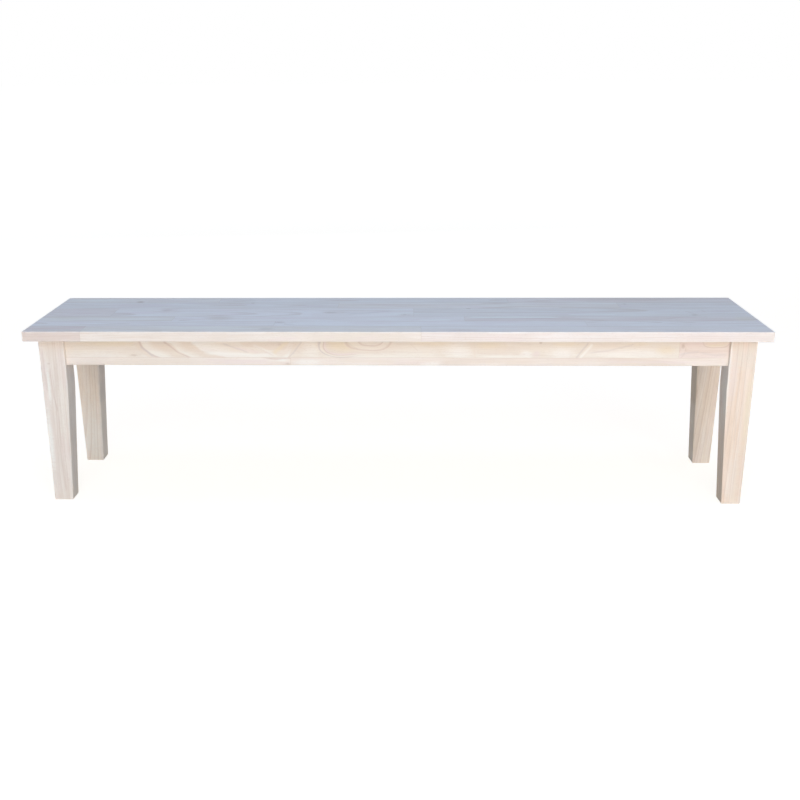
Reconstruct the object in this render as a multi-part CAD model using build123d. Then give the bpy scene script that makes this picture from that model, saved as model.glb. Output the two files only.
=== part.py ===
from build123d import *
from math import radians, sin, sqrt
import os

# A six-foot shaker bench: an edge-glued seat on an apron frame, with four tapered legs.
# The origin is on the floor under the middle of the seat. X runs along the bench to the
# right, Y from the front to the back, and Z is up. All lengths are millimetres.

# Overall sizes
seat_length = 1828.8
seat_depth = 400.0
bench_height = 457.2
seat_thickness = 25.0
overhang = 28.6

# The seat's eased edges, and its glued-up boards, from the front lane to the back one
seat_corner_radius = 2.0
seat_edge_radius = 1.5
lane_width_shares = [0.150, 0.1375, 0.130, 0.2425, 0.180, 0.160]
lane_joint_shares = [
    [0.079, 0.537],
    [0.336, 0.762],
    [0.190, 0.598],
    [0.096, 0.5275],
    [0.417, 0.826],
    [0.236, 0.668],
]

# Legs, plumb outside and tapered on the two inside faces
leg_square = 63.5
leg_foot = 47.6
taper_start = 304.8
taper_bend_radius = 600.0
leg_edge_radius = 1.5
foot_chamfer = 1.0
notch_width = 16.0
notch_length = 66.0

# Aprons, each glued up from a lower and an upper strip, and the long ones' butt joints
apron_height = 70.0
apron_thickness = 19.0
apron_setback = 9.5
apron_edge_radius = 1.5
lower_strip_height = 20.0
front_joint_shares = [0.344, 0.926]
back_joint_shares = [0.689, 0.238]

# Cross rails, let into the long aprons and screwed up into the seat
rail_thickness = 19.0
rail_height = 45.0
rail_edge_radius = 1.5
housing_depth = 6.0
rail_place_shares = [-0.16, 0.16]
rail_screw_shares = [-0.33, 0.0, 0.33]
counterbore_depth = 22.0
counterbore_diameter = 10.0

# Corner brackets of folded steel, with end lips in saw kerfs and a rib between the bolts
bracket_plate = 2.0
bracket_height = 54.0
bracket_drop = 8.0
bracket_corner = 72.0
bracket_reach = 102.0
bracket_bend_radius = 2.5
lip_depth = 7.0
lip_corner_radius = 3.0
kerf_depth = 8.5
rib_length = 44.0
rib_height = 7.0
rib_rise = 1.6
rib_wall = 1.2
rib_edge_radius = 0.8

# Leg bolts, with a wood thread in the leg and a washer, a spring washer and a nut
bolt_diameter = 7.8
bolt_bite = 38.0
bolt_point = 7.0
bolt_tip_diameter = 2.0
bolt_tail = 5.0
bolt_end_chamfer = 0.8
bolt_spacing = 28.0
bolt_hole_diameter = 9.0
washer_diameter = 17.0
washer_thickness = 1.6
spring_washer_diameter = 13.4
spring_washer_thickness = 2.0
spring_washer_slit = 1.2
spring_washer_lean = 25.0
nut_across_flats = 12.7
nut_height = 6.6
nut_chamfer = 0.9

# Screws with a square drive: pocket and rail screws into the seat, and bracket screws
screw_diameter = 4.0
screw_point = 5.0
screw_head_diameter = 8.0
screw_crown_diameter = 5.0
screw_head_height = 2.4
screw_rim_height = 0.9
screw_drive_width = 2.6
screw_drive_depth = 1.4
seat_bite = 18.0
pocket_web = 12.0
pocket_diameter = 9.5
pocket_lean = 15.0
pocket_inset = 8.0
long_pocket_shares = [-0.40, -0.24, -0.08, 0.08, 0.24, 0.40]
short_pocket_shares = [-0.10, 0.10]
bracket_screw_length = 15.0
bracket_screw_spacing = 30.0
bracket_screw_inset = 15.0
bracket_screw_hole = 4.6

# Clearances, and the overrun of every cutter past the face that it opens
wood_fit = 0.1
rail_fit = 0.2
kerf_fit = 0.3
thread_fit = 0.2
overrun = 2.0

# Places that follow from the sizes above
half_length = seat_length / 2
half_depth = seat_depth / 2
seat_underside = bench_height - seat_thickness
apron_bottom = seat_underside - apron_height
strip_line = apron_bottom + lower_strip_height
leg_outer_x = half_length - overhang
leg_outer_y = half_depth - overhang
leg_inner_x = leg_outer_x - leg_square
leg_inner_y = leg_outer_y - leg_square
apron_outer_x = leg_outer_x - apron_setback
apron_outer_y = leg_outer_y - apron_setback
apron_inner_x = apron_outer_x - apron_thickness
apron_inner_y = apron_outer_y - apron_thickness
long_span = 2 * leg_inner_x
short_span = 2 * leg_inner_y
rail_length = 2 * (apron_inner_y + housing_depth - rail_fit)
bracket_middle = seat_underside - bracket_drop - bracket_height / 2
rail_screw_length = rail_height - counterbore_depth + seat_bite

# Along a corner's diagonal, inward from where the inner faces of its two aprons cross
notch_face = sqrt(2) * (apron_inner_x - leg_inner_x - notch_width / 2)
plate_outer = bracket_corner / sqrt(2)
plate_inner = plate_outer + bracket_plate
washer_end = plate_inner + washer_thickness
spring_washer_end = washer_end + spring_washer_thickness
nut_end = spring_washer_end + nut_height
bolt_start = notch_face - bolt_bite
bolt_end = nut_end + bolt_tail

corners = {"front_left": (-1, -1), "front_right": (1, -1), "back_left": (-1, 1), "back_right": (1, 1)}


# Helpers

def block(low, high):
    """A box from its lowest corner to its highest one."""
    size = [far - near for near, far in zip(low, high)]
    return Pos(*low) * Box(*size, align=(Align.MIN, Align.MIN, Align.MIN))


def prism(outline, bottom, top):
    """An upright prism on an outline of (x, y) points."""
    face = make_face(Polyline([(x, y, 0) for x, y in outline], close=True))
    return Pos(0, 0, bottom) * extrude(face, top - bottom)


def turned(outline):
    """The solid that an outline of (radius, height) points sweeps round the Z axis."""
    face = make_face(Polyline([(radius, 0, height) for radius, height in outline], close=True))
    return revolve(face, Axis.Z)


def post(diameter, bottom, top):
    """A cylinder on the Z axis between two heights."""
    return turned([(0, bottom), (diameter / 2, bottom), (diameter / 2, top), (0, top)])


def facing(origin, direction):
    """The location at the origin whose Z axis points along the direction."""
    return Plane(origin=origin, z_dir=direction).location


def with_mirrored(pieces, plane):
    """The pieces, and then their mirror images in a plane."""
    return pieces + [mirror(piece, about=plane) for piece in pieces]


def less(solid, cutters):
    """The solid with every cutter taken away."""
    for cutter in cutters:
        solid = solid - cutter
    return solid


def sliced(solid, direction, places):
    """The slices of a solid between planes across a direction, from the lowest place up."""
    slices = []
    for place in places:
        origin = [place * step for step in direction]
        plane = Plane(origin=origin, z_dir=direction)
        slices.append(split(solid, bisect_by=plane, keep=Keep.BOTTOM))
        solid = split(solid, bisect_by=plane, keep=Keep.TOP)
    return slices + [solid]


def upright_edges(solid):
    """The edges that rise along more than half of their length."""
    return solid.edges().filter_by(lambda edge: edge.bounding_box().size.Z > edge.length / 2)


def eased_below(solid, axis, radius):
    """The solid with its lowest edges along an axis rounded over."""
    return fillet(solid.faces().sort_by(Axis.Z)[0].edges().filter_by(axis), radius)


# Places in the front left corner, where pieces are drawn before they are mirrored

def at_corner(piece, corner):
    """A piece of the front left corner, mirrored into another corner."""
    side_x, side_y = corner
    if side_x > 0:
        piece = mirror(piece, about=Plane.YZ)
    if side_y > 0:
        piece = mirror(piece, about=Plane.XZ)
    return piece


def across_corner(piece):
    """A piece of the front apron, mirrored in the corner's diagonal onto the end apron."""
    diagonal = Plane(origin=(-apron_inner_x, -apron_inner_y, 0), z_dir=(1, -1, 0))
    return mirror(piece, about=diagonal)


def diagonal_at(level):
    """The location whose Z axis runs inward along the corner's diagonal at a level."""
    origin = (-apron_inner_x, -apron_inner_y, level)
    return Plane(origin=origin, x_dir=(1, -1, 0), z_dir=(1, 1, 0)).location


def bolt_locations():
    """The axes of the corner's two bolts."""
    offset_up = bolt_spacing / 2
    return [diagonal_at(bracket_middle - offset_up), diagonal_at(bracket_middle + offset_up)]


def bracket_screw_locations():
    """Under the heads of the bracket's two screws on the front apron, driven outward."""
    along = -apron_inner_x + bracket_reach - bracket_screw_inset
    offset_up = bracket_screw_spacing / 2
    locations = []
    for level in (bracket_middle - offset_up, bracket_middle + offset_up):
        origin = (along, -apron_inner_y + bracket_plate, level)
        locations.append(facing(origin, (0, -1, 0)))
    return locations


def front_pocket_locations():
    """Where the front pocket screws leave the apron's top edge, leaning up and outward."""
    lean = sin(radians(pocket_lean))
    across = -apron_inner_y - pocket_inset
    origins = [(share * long_span, across, seat_underside) for share in long_pocket_shares]
    return [facing(origin, (0, -lean, sqrt(1 - lean**2))) for origin in origins]


def left_pocket_locations():
    """Where the left end's pocket screws leave the apron's top edge."""
    lean = sin(radians(pocket_lean))
    along = -apron_inner_x - pocket_inset
    origins = [(along, share * short_span, seat_underside) for share in short_pocket_shares]
    return [facing(origin, (-lean, 0, sqrt(1 - lean**2))) for origin in origins]


def rail_screw_locations(rail_share):
    """Under the heads of one rail's screws, on the floors of its counterbores."""
    level = seat_underside - rail_height + counterbore_depth
    return [Pos(rail_share * long_span, share * rail_length, level) for share in rail_screw_shares]


def at_pockets(piece):
    """A piece set at every pocket of the four aprons."""
    front = [location * piece for location in front_pocket_locations()]
    left = [location * piece for location in left_pocket_locations()]
    return with_mirrored(front, Plane.XZ) + with_mirrored(left, Plane.YZ)


# Screws

def screw(length):
    """A pan-head screw that points up, with its head under zero and a square drive."""
    shank = screw_diameter / 2
    body = turned([
        (0, -screw_head_height),
        (screw_crown_diameter / 2, -screw_head_height),
        (screw_head_diameter / 2, -screw_rim_height),
        (screw_head_diameter / 2, 0),
        (shank, 0),
        (shank, length - screw_point),
        (0, length),
    ])
    drive = Box(screw_drive_width, screw_drive_width, 2 * screw_drive_depth)
    return body - Pos(0, 0, -screw_head_height) * drive


def pilot(length):
    """The hole that fits round a screw's shank and point, from below zero up."""
    shank = screw_diameter / 2 + wood_fit
    return turned([
        (0, -overrun),
        (shank, -overrun),
        (shank, length - screw_point),
        (0, length + wood_fit),
    ])


def pocket():
    """An apron's slanted pocket for a screw head, and the pilot hole through its web."""
    run = apron_thickness / sin(radians(pocket_lean))
    hole = post(screw_diameter + 2 * wood_fit, -pocket_web - overrun, overrun)
    return hole + post(pocket_diameter, -run, -pocket_web)


def seat_screws():
    """The pocket screws, with their heads on the pockets' floors."""
    return at_pockets(Pos(0, 0, -pocket_web) * screw(pocket_web + seat_bite))


def rail_screws():
    """The screws through the cross rails."""
    one = screw(rail_screw_length)
    return [location * one for share in rail_place_shares for location in rail_screw_locations(share)]


def bracket_screws():
    """The screws through the tabs of every bracket."""
    one = screw(bracket_screw_length)
    front = [location * one for location in bracket_screw_locations()]
    corner_screws = front + [across_corner(piece) for piece in front]
    return [at_corner(piece, corner) for corner in corners.values() for piece in corner_screws]


# Leg bolts

def hanger_bolt(fit=0.0):
    """A headless bolt with a tapered wood point, or with a fit the hole that it needs."""
    radius = bolt_diameter / 2 + fit
    return turned([
        (0, bolt_start - fit),
        (bolt_tip_diameter / 2 + fit, bolt_start - fit),
        (radius, bolt_start + bolt_point),
        (radius, bolt_end - bolt_end_chamfer),
        (radius - bolt_end_chamfer, bolt_end),
        (0, bolt_end),
    ])


def ring(diameter, bottom, top):
    """A ring between two heights with a bore that clears the bolt."""
    bore = post(bolt_diameter + 2 * thread_fit, bottom - overrun, top + overrun)
    return post(diameter, bottom, top) - bore


def flat_washer():
    """The washer on the bracket's inner side."""
    return ring(washer_diameter, plate_inner, washer_end)


def spring_washer():
    """A split ring, flattened by the nut, with a leaning slit."""
    radius = spring_washer_diameter / 2
    middle = (washer_end + spring_washer_end) / 2
    slit = Box(2 * radius, spring_washer_slit, spring_washer_thickness + 2 * overrun)
    slit = Pos(radius, 0, middle) * Rot(spring_washer_lean, 0, 0) * slit
    return ring(spring_washer_diameter, washer_end, spring_washer_end) - slit


def hex_nut():
    """A hexagon nut with its corners turned off at both ends."""
    corner_radius = nut_across_flats / sqrt(3)
    flat_radius = corner_radius - nut_chamfer
    slope = nut_chamfer / 2
    hexagon = extrude(RegularPolygon(corner_radius, 6), nut_height)
    lathe = turned([
        (0, 0),
        (flat_radius, 0),
        (corner_radius, slope),
        (corner_radius, nut_height - slope),
        (flat_radius, nut_height),
        (0, nut_height),
    ])
    bore = post(bolt_diameter + 2 * thread_fit, -overrun, nut_height + overrun)
    return Pos(0, 0, spring_washer_end) * ((hexagon & lathe) - bore)


def at_bolts(piece):
    """A piece set on both bolt axes of every corner."""
    corner_pieces = [location * piece for location in bolt_locations()]
    return [at_corner(piece, corner) for corner in corners.values() for piece in corner_pieces]


# The seat

def seat_panel():
    """The whole seat with eased edges, and the screws' holes in its underside."""
    panel = block((-half_length, -half_depth, seat_underside), (half_length, half_depth, bench_height))
    panel = fillet(panel.edges().filter_by(Axis.Z), seat_corner_radius)
    faces = panel.faces().sort_by(Axis.Z)
    panel = fillet(faces[0].edges() + faces[-1].edges(), seat_edge_radius)
    holes = at_pockets(pilot(seat_bite))
    above_head = Pos(0, 0, rail_height - counterbore_depth)
    for share in rail_place_shares:
        holes += [location * above_head * pilot(seat_bite) for location in rail_screw_locations(share)]
    return less(panel, holes)


def seat_boards():
    """The boards by node name, in lanes from front to back, each lane from left to right."""
    lane_lines = [sum(lane_width_shares[:count]) for count in range(1, len(lane_width_shares))]
    lanes = sliced(seat_panel(), (0, 1, 0), [(share - 0.5) * seat_depth for share in lane_lines])
    boards = {}
    for lane, (strip, joint_shares) in enumerate(zip(lanes, lane_joint_shares), 1):
        joints = [(share - 0.5) * seat_length for share in joint_shares]
        for count, board in enumerate(sliced(strip, (1, 0, 0), joints), 1):
            boards[f"seat_board_{lane}_{count}"] = board
    return boards


# The legs

def leg_side():
    """A leg's side view, its outer face plumb and its inner one bent to the taper."""
    outline = [
        (0, 0),
        (leg_foot, 0),
        (leg_square, taper_start),
        (leg_square, seat_underside),
        (0, seat_underside),
    ]
    face = make_face(Polyline([(across, level, 0) for across, level in outline], close=True))
    bend = face.vertices().sort_by(Axis.Y)[2]
    return fillet(bend, taper_bend_radius)


def leg_notch():
    """The prism that takes off the leg's inner corner, where the bolts enter."""
    run = notch_width + overrun
    outline = [(overrun, overrun), (-run, overrun), (overrun, -run)]
    cutter = prism(outline, seat_underside - notch_length, seat_underside + overrun)
    return Pos(-leg_inner_x, -leg_inner_y, 0) * cutter


def front_left_leg():
    """A leg, tapered by crossing its two side views, with its notch and bolt holes."""
    front_view = Plane(origin=(0, leg_square, 0), x_dir=(1, 0, 0), z_dir=(0, -1, 0)) * leg_side()
    end_view = Plane(origin=(0, 0, 0), x_dir=(0, 1, 0), z_dir=(1, 0, 0)) * leg_side()
    leg = extrude(front_view, leg_square) & extrude(end_view, leg_square)
    leg = fillet(upright_edges(leg), leg_edge_radius)
    leg = chamfer(leg.faces().sort_by(Axis.Z)[0].edges(), foot_chamfer)
    leg = Pos(-leg_outer_x, -leg_outer_y, 0) * leg
    holes = [location * hanger_bolt(wood_fit) for location in bolt_locations()]
    return less(leg, [leg_notch(), *holes])


# The apron frame

def kerf():
    """The upright kerf in the front apron for a bracket's lip, its mouth eased for the bend."""
    near = bracket_reach - kerf_fit
    far = bracket_reach + bracket_plate + kerf_fit
    outline = [
        (near, -kerf_depth),
        (far, -kerf_depth),
        (far, overrun),
        (near - bracket_bend_radius - overrun, overrun),
        (near, -bracket_bend_radius),
    ]
    cutter = prism(outline, apron_bottom - overrun, seat_underside + overrun)
    return Pos(-apron_inner_x, -apron_inner_y, 0) * cutter


def housing(rail_share):
    """The housing for a rail's end in the front apron, open at the apron's top edge."""
    middle = rail_share * long_span
    half_width = rail_thickness / 2 + rail_fit
    bottom = seat_underside - rail_height - rail_fit
    low = (middle - half_width, -apron_inner_y - housing_depth, bottom)
    high = (middle + half_width, -apron_inner_y + overrun, seat_underside + overrun)
    return block(low, high)


def front_apron():
    """The front apron in one, with kerfs, housings, pockets and the bracket screws' holes."""
    low = (-leg_inner_x, -apron_outer_y, apron_bottom)
    high = (leg_inner_x, -apron_inner_y, seat_underside)
    apron = eased_below(block(low, high), Axis.X, apron_edge_radius)
    holes = [location * pilot(bracket_screw_length) for location in bracket_screw_locations()]
    cutters = with_mirrored([kerf(), *holes], Plane.YZ)
    cutters += [housing(share) for share in rail_place_shares]
    cutters += [location * pocket() for location in front_pocket_locations()]
    return less(apron, cutters)


def left_end_apron():
    """The left end apron in one, with kerfs, pockets and the bracket screws' holes."""
    low = (-apron_outer_x, -leg_inner_y, apron_bottom)
    high = (-apron_inner_x, leg_inner_y, seat_underside)
    apron = eased_below(block(low, high), Axis.Y, apron_edge_radius)
    holes = [location * pilot(bracket_screw_length) for location in bracket_screw_locations()]
    cutters = with_mirrored([across_corner(piece) for piece in [kerf(), *holes]], Plane.XZ)
    cutters += [location * pocket() for location in left_pocket_locations()]
    return less(apron, cutters)


def strips_of(apron):
    """An apron's lower and upper strip, each with its name."""
    return list(zip(("lower", "upper"), sliced(apron, (0, 0, 1), [strip_line])))


def long_apron_nodes(side, apron, joint_shares):
    """A long apron's strips by node name, each butted once along its length."""
    nodes = {}
    for (level, strip), share in zip(strips_of(apron), joint_shares):
        left, right = sliced(strip, (1, 0, 0), [(share - 0.5) * long_span])
        nodes[f"{side}_apron_{level}_left"] = left
        nodes[f"{side}_apron_{level}_right"] = right
    return nodes


def apron_nodes():
    """The strips of all four aprons by node name."""
    front = front_apron()
    left = left_end_apron()
    nodes = long_apron_nodes("front", front, front_joint_shares)
    nodes.update(long_apron_nodes("back", mirror(front, about=Plane.XZ), back_joint_shares))
    for level, strip in strips_of(left):
        nodes[f"left_end_apron_{level}"] = strip
        nodes[f"right_end_apron_{level}"] = mirror(strip, about=Plane.YZ)
    return nodes


def cross_rail(rail_share):
    """A rail between the long aprons, counterbored from below for its screws."""
    middle = rail_share * long_span
    low = (middle - rail_thickness / 2, -rail_length / 2, seat_underside - rail_height)
    high = (middle + rail_thickness / 2, rail_length / 2, seat_underside)
    rail = eased_below(block(low, high), Axis.Y, rail_edge_radius)
    hole = post(screw_diameter + 2 * wood_fit, -overrun, rail_height)
    hole += post(counterbore_diameter, -counterbore_depth - overrun, 0)
    return less(rail, [location * hole for location in rail_screw_locations(rail_share)])


# The corner brackets

def folded_strip():
    """The bracket's strip, folded flat along both aprons and down into their kerfs."""
    path = [
        (bracket_reach, -lip_depth),
        (bracket_reach, 0),
        (bracket_corner, 0),
        (0, bracket_corner),
        (0, bracket_reach),
        (-lip_depth, bracket_reach),
    ]
    spine = FilletPolyline(path, radius=bracket_bend_radius)
    strip = extrude(make_face(offset(spine, amount=bracket_plate, side=Side.RIGHT)), bracket_height)
    front_lip = strip.faces().sort_by(Axis.Y)[0].edges().filter_by(Axis.X)
    end_lip = strip.faces().sort_by(Axis.X)[0].edges().filter_by(Axis.Y)
    strip = fillet(front_lip + end_lip, lip_corner_radius)
    return Pos(-apron_inner_x, -apron_inner_y, bracket_middle - bracket_height / 2) * strip


def pressed_rib():
    """The stiffening rib between the bolts, and the hollow that pressing it leaves."""
    rib = extrude(Pos(0, 0, plate_inner) * SlotOverall(rib_length, rib_height), rib_rise)
    rib = fillet(rib.faces().sort_by(Axis.Z)[-1].edges(), rib_edge_radius)
    inner = SlotOverall(rib_length - 2 * rib_wall, rib_height - 2 * rib_wall)
    hollow = extrude(Pos(0, 0, plate_outer - overrun) * inner, overrun + rib_rise)
    return rib, hollow


def front_left_bracket():
    """The folded strip with its rib, two bolt holes and four screw holes."""
    rib, hollow = pressed_rib()
    middle = diagonal_at(bracket_middle)
    bolt_hole = post(bolt_hole_diameter, plate_outer - overrun, plate_inner + overrun)
    screw_hole = post(bracket_screw_hole, -overrun, bracket_plate + overrun)
    holes = [location * screw_hole for location in bracket_screw_locations()]
    holes += [across_corner(hole) for hole in holes]
    holes += [location * bolt_hole for location in bolt_locations()]
    return less(folded_strip() + middle * rib, [middle * hollow, *holes])


# The nodes, one STEP file each

def corner_nodes():
    """A leg and a bracket by node name at every corner."""
    leg = front_left_leg()
    bracket = front_left_bracket()
    nodes = {}
    for name, corner in corners.items():
        nodes[f"leg_{name}"] = at_corner(leg, corner)
        nodes[f"corner_bracket_{name}"] = at_corner(bracket, corner)
    return nodes


def fastener_nodes():
    """Every kind of fastener by node name, as a group of separate solids."""
    return {
        "seat_screws": Compound(children=seat_screws()),
        "rail_screws": Compound(children=rail_screws()),
        "bracket_screws": Compound(children=bracket_screws()),
        "hanger_bolts": Compound(children=at_bolts(hanger_bolt())),
        "flat_washers": Compound(children=at_bolts(flat_washer())),
        "spring_washers": Compound(children=at_bolts(spring_washer())),
        "hex_nuts": Compound(children=at_bolts(hex_nut())),
    }


def bench():
    """The whole bench by node name."""
    sides = zip(("left", "right"), rail_place_shares)
    rails = {f"cross_rail_{side}": cross_rail(share) for side, share in sides}
    return seat_boards() | apron_nodes() | rails | corner_nodes() | fastener_nodes()


os.makedirs("parts", exist_ok=True)
for node, shape in bench().items():
    export_step(shape, f"parts/{node}.step")
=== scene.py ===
"""The looks of the shaker bench: pale rubberwood boards, legs and rails, and zinc-plated corner hardware."""

import math

import bmesh
import bpy
import numpy as np
from mathutils import Matrix, Vector


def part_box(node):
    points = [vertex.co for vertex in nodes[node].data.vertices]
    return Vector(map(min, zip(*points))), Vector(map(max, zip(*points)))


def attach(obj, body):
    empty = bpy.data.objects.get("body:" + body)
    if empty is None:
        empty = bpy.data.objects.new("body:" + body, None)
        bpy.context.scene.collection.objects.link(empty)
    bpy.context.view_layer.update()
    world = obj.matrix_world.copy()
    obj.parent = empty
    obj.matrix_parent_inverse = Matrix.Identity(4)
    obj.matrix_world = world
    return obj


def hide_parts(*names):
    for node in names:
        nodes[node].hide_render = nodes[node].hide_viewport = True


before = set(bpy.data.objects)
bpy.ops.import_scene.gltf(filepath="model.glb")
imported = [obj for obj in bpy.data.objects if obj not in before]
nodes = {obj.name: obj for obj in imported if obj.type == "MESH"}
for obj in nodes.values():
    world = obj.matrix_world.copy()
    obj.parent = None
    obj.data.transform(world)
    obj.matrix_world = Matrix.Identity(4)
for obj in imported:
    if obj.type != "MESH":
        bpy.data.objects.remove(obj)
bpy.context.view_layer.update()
rng = np.random.default_rng(1912)

# Camera, as fitted to the corners of the bench in the photograph
FRAME_PIXELS = 800
SENSOR = 36.0
FOCAL_PIXELS = 1070.953
CENTRE_PIXEL = (367.215, 431.008)
CAMERA_PLACE = (0.036431, -2.734921, 1.074326)
TURN_LEFT = math.radians(2.2988)
LOOK_DOWN = math.radians(18.959)
LEAN = math.radians(0.5125)
VIEW_LIMIT = 300.0

camera_data = bpy.data.cameras.new("bench_camera")
camera_data.sensor_width = SENSOR
camera_data.lens = FOCAL_PIXELS / FRAME_PIXELS * SENSOR
camera_data.shift_x = (FRAME_PIXELS / 2 - CENTRE_PIXEL[0]) / FRAME_PIXELS
camera_data.shift_y = (CENTRE_PIXEL[1] - FRAME_PIXELS / 2) / FRAME_PIXELS
camera_data.clip_end = VIEW_LIMIT
camera = bpy.data.objects.new("bench_camera", camera_data)
camera.matrix_world = (
    Matrix.Translation(CAMERA_PLACE)
    @ Matrix.Rotation(TURN_LEFT, 4, "Z")
    @ Matrix.Rotation(math.pi / 2 - LOOK_DOWN, 4, "X")
    @ Matrix.Rotation(-LEAN, 4, "Z")
)
bpy.context.scene.collection.objects.link(camera)
bpy.context.scene.camera = camera
bpy.context.scene.view_settings.view_transform = "Standard"


# Small helpers for shader nodes
def add(tree, kind, **settings):
    """Adds one node to the tree and sets its properties."""
    made = tree.nodes.new(kind)
    for name, value in settings.items():
        setattr(made, name, value)
    return made


def feed(tree, socket, value):
    """Links a socket to another socket, or sets it to a plain value. Plain colours are opaque."""
    if isinstance(value, bpy.types.NodeSocket):
        tree.links.new(value, socket)
    else:
        socket.default_value = (*value, 1.0) if socket.type == "RGBA" else value


def calc(tree, operation, *values, clamp=False):
    """One Math node on sockets or numbers."""
    made = add(tree, "ShaderNodeMath", operation=operation, use_clamp=clamp)
    for socket, value in zip(made.inputs, values):
        feed(tree, socket, value)
    return made.outputs[0]


def times(tree, first, second):
    """The product of two sockets or numbers."""
    return calc(tree, "MULTIPLY", first, second)


def calc_vector(tree, operation, *values):
    """One Vector Math node; length and dot product come out as a value."""
    made = add(tree, "ShaderNodeVectorMath", operation=operation)
    for socket, value in zip(made.inputs, values):
        feed(tree, socket, value)
    return made.outputs["Value" if operation in ("LENGTH", "DOT_PRODUCT") else "Vector"]


def parts(tree, vector):
    """The X, Y and Z of a vector."""
    made = add(tree, "ShaderNodeSeparateXYZ")
    feed(tree, made.inputs[0], vector)
    return made.outputs


def soft_step(tree, value, start, end, low=0.0, high=1.0):
    """Goes smoothly from low to high while the value goes from start to end."""
    made = add(tree, "ShaderNodeMapRange", interpolation_type="SMOOTHSTEP")
    names = ("Value", "From Min", "From Max", "To Min", "To Max")
    for name, number in zip(names, (value, start, end, low, high)):
        feed(tree, made.inputs[name], number)
    return made.outputs["Result"]


def tint(tree, share, first, second):
    """Mixes two colours by a share from 0 to 1."""
    made = add(tree, "ShaderNodeMix", data_type="RGBA", clamp_factor=True)
    for place, value in ((0, share), (6, first), (7, second)):
        feed(tree, made.inputs[place], value)
    return made.outputs[2]


def noise(tree, kind, **inputs):
    """A noise texture in 1 to 4 dimensions."""
    made = add(tree, "ShaderNodeTexNoise", noise_dimensions=kind)
    for name, value in inputs.items():
        feed(tree, made.inputs[name], value)
    return made.outputs


def speckle(tree, place, stretch, detail, rough, seed=None):
    """Noise from 0 to 1 at a place in metres, with stretch as its cycles per metre on each axis."""
    kind, more = ("3D", {}) if seed is None else ("4D", {"W": seed})
    scaled = calc_vector(tree, "MULTIPLY", place, stretch)
    return noise(tree, kind, Vector=scaled, Scale=1.0, Detail=detail, Roughness=rough, **more)[0]


def effect(name, vectors, values, outputs, colours=()):
    """A shader node group: its tree, its input sockets in their order, and its output sockets by name.

    An output named Color puts out a colour, and any other one a value.
    """
    tree = bpy.data.node_groups.new(name, "ShaderNodeTree")
    for kind, labels in (("Vector", vectors), ("Float", values), ("Color", colours)):
        for label in labels:
            tree.interface.new_socket(label, in_out="INPUT", socket_type=f"NodeSocket{kind}")
    for label in outputs:
        kind = "Color" if label == "Color" else "Float"
        tree.interface.new_socket(label, in_out="OUTPUT", socket_type=f"NodeSocket{kind}")
    given = add(tree, "NodeGroupInput").outputs
    result = add(tree, "NodeGroupOutput").inputs
    return tree, [given[label] for label in (*vectors, *values, *colours)], result


def place_effect(tree, group, **values):
    """Places an effect in a tree; an input's name has an underscore for each space."""
    made = add(tree, "ShaderNodeGroup", node_tree=group)
    for name, value in values.items():
        feed(tree, made.inputs[name.replace("_", " ")], value)
    return made.outputs


def fresh_material(name):
    """A new material and its empty node tree."""
    made = bpy.data.materials.new(name)
    made.use_nodes = True
    made.node_tree.nodes.clear()
    return made, made.node_tree


def show(tree, shader, kind="Material"):
    """Makes a shader the surface of a material or of the world."""
    feed(tree, add(tree, f"ShaderNodeOutput{kind}").inputs["Surface"], shader.outputs[0])


def show_principled(tree, colour, look, own, number):
    """Shows a colour with a look's roughness and height. One of the shader's own sockets gets a number."""
    shader = add(tree, "ShaderNodeBsdfPrincipled")
    shader.inputs[own].default_value = number
    bump = add(tree, "ShaderNodeBump")
    bump.inputs["Strength"].default_value = 1.0
    bump.inputs["Distance"].default_value = 1.0
    feed(tree, bump.inputs["Height"], look["Height"])
    feed(tree, shader.inputs["Base Color"], colour)
    feed(tree, shader.inputs["Roughness"], look["Roughness"])
    feed(tree, shader.inputs["Normal"], bump.outputs[0])
    show(tree, shader)


# Wood effects. A log position has its grain along X and the tree's heart on the X axis.
# Cycles per metre of the noises along the grain and on the two axes across it
SLOW_WAVES = (1.3, 9.0, 9.0)
FINE_WAVES = (6.0, 45.0, 45.0)
BROAD_STREAKS = (6.0, 38.0, 38.0)
NARROW_STREAKS = (12.0, 190.0, 190.0)
BLUSHES = (8.0, 46.0, 46.0)
PORE_CELLS = (95.0, 1050.0, 1050.0)
PORE_CROWDS = (9.0, 160.0, 160.0)
FIBRES = (22.0, 900.0, 900.0)
RAGGED_RIM = (60.0, 260.0, 260.0)
LINE_WAVER = (30.0, 30.0, 30.0)
BOWL_WANDER = 14.0
# Reach in metres of a bowl's wandering on each axis, and of a line's to either side
BOWL_SWING = (0.050, 0.0, 0.014)
LINE_SWING = 0.003
FINE_WAVE_SHARE = 0.12
BROAD_SHARE, NARROW_SHARE = 0.55, 0.45
# Rings: noise cycles per ring, rings that it moves them by, and the part of a ring where its line is darkest
RING_DRIFT_PACE = 0.45
RING_DRIFT = 1.6
BAND_PACE = 0.62
DARKEST = 0.93
LINE_THINNESS = 2.2
PORE_DARKNESS = 0.4
# Heights in metres
PORE_DEPTH = 0.00007
FIBRE_HEIGHT = 0.00003
RING_HEIGHT = 0.00002
# Share of a drawn line over which each end fades
LINE_FADE = 0.15


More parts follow.
